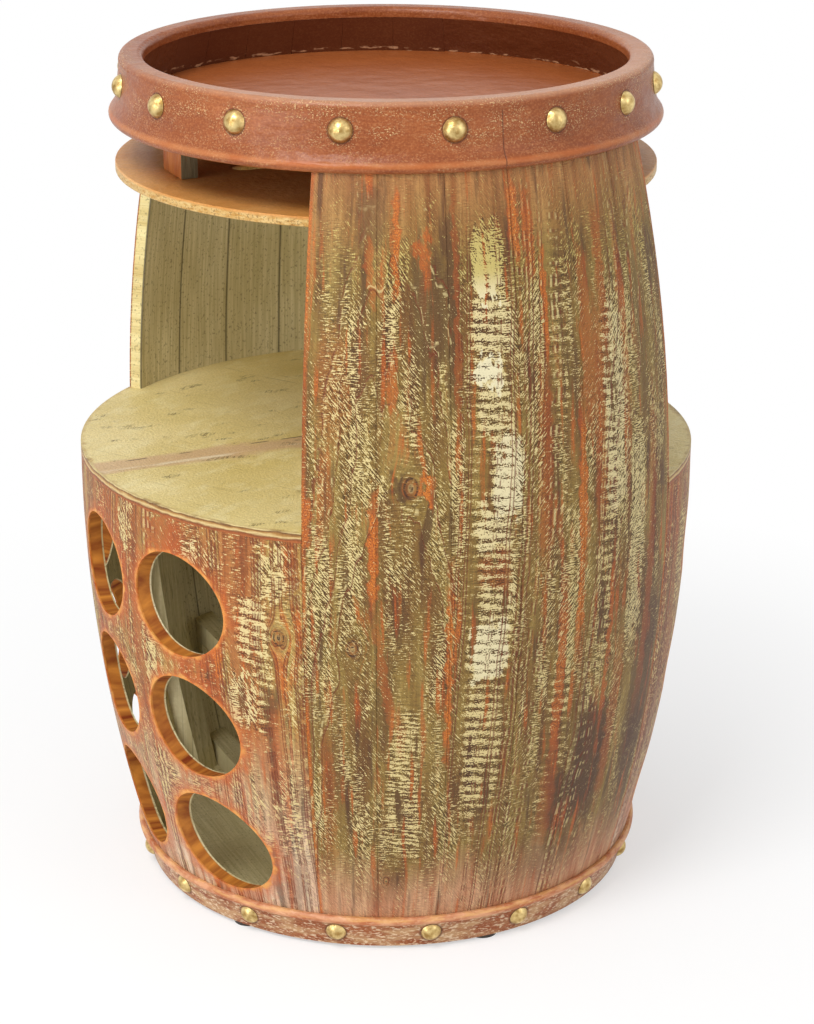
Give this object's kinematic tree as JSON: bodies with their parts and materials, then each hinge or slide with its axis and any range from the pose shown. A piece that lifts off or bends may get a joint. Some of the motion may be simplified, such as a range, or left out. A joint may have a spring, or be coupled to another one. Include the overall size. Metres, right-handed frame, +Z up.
{
  "type": "barrel wine rack",
  "caption": "Barrel-shaped wooden rack with bored side panels for bottles, an open shelf, a slotted board for stemmed glasses and a rimmed tray on top.",
  "frame": {"origin": "on the floor under the middle of the barrel", "axes": "+Z up, -Y out of the near solid wall, -X and +X out of the two open sides with the bottle bores"},
  "size_m": [0.52, 0.52, 0.712],
  "materials": {
    "wall_paint": "distressed olive over red-brown paint",
    "panel_paint": "distressed red-brown and olive paint",
    "tray_paint": "worn terracotta paint",
    "base_paint": "worn terracotta and ochre paint",
    "shelf_paint": "olive-yellow paint",
    "filler_paste": "smoothed filler",
    "inside_paint": "dark olive paint",
    "glass_board_paint": "orange-brown stain",
    "spacer_paint": "worn terracotta paint",
    "nail_brass": "antique",
    "screw_steel": "dark",
    "glide_plastic": "matte"
  },
  "bodies": {
    "root": {"base_board": "inside_paint", "base_glides": "glide_plastic", "base_hoop": "base_paint", "base_nails": "nail_brass", "far_glass_cleat": "inside_paint", "far_left_corner_batten": "inside_paint", "far_right_corner_batten": "inside_paint", "far_shelf_cleat": "inside_paint", "far_stave_1": "wall_paint", "far_stave_2": "wall_paint", "far_stave_3": "wall_paint", "far_stave_4": "wall_paint", "far_stave_5": "wall_paint", "far_stave_6": "wall_paint", "far_tray_cleat": "inside_paint", "glass_board": "glass_board_paint", "left_head_piece": "tray_paint", "left_panel_board_1": "panel_paint", "left_panel_board_2": "panel_paint", "left_panel_board_3": "panel_paint", "left_panel_board_4": "panel_paint", "left_spacer": "spacer_paint", "low_left_rail": "inside_paint", "low_right_rail": "inside_paint", "middle_left_rail": "inside_paint", "middle_right_rail": "inside_paint", "near_glass_cleat": "inside_paint", "near_left_corner_batten": "inside_paint", "near_right_corner_batten": "inside_paint", "near_shelf_cleat": "inside_paint", "near_stave_1": "wall_paint", "near_stave_2": "wall_paint", "near_stave_3": "wall_paint", "near_stave_4": "wall_paint", "near_stave_5": "wall_paint", "near_stave_6": "wall_paint", "near_tray_cleat": "inside_paint", "rail_cleats": "inside_paint", "right_head_piece": "tray_paint", "right_panel_board_1": "panel_paint", "right_panel_board_2": "panel_paint", "right_panel_board_3": "panel_paint", "right_panel_board_4": "panel_paint", "right_spacer": "spacer_paint", "shelf_batten": "inside_paint", "shelf_far_board": "shelf_paint", "shelf_filler": "filler_paste", "shelf_near_board": "shelf_paint", "shelf_screws": "screw_steel", "spacer_screws": "screw_steel", "tray_floor": "tray_paint", "tray_hoop": "tray_paint", "tray_nails": "nail_brass", "tray_rim": "tray_paint", "upper_left_rail": "inside_paint", "upper_right_rail": "inside_paint"}
  },
  "joints": []
}
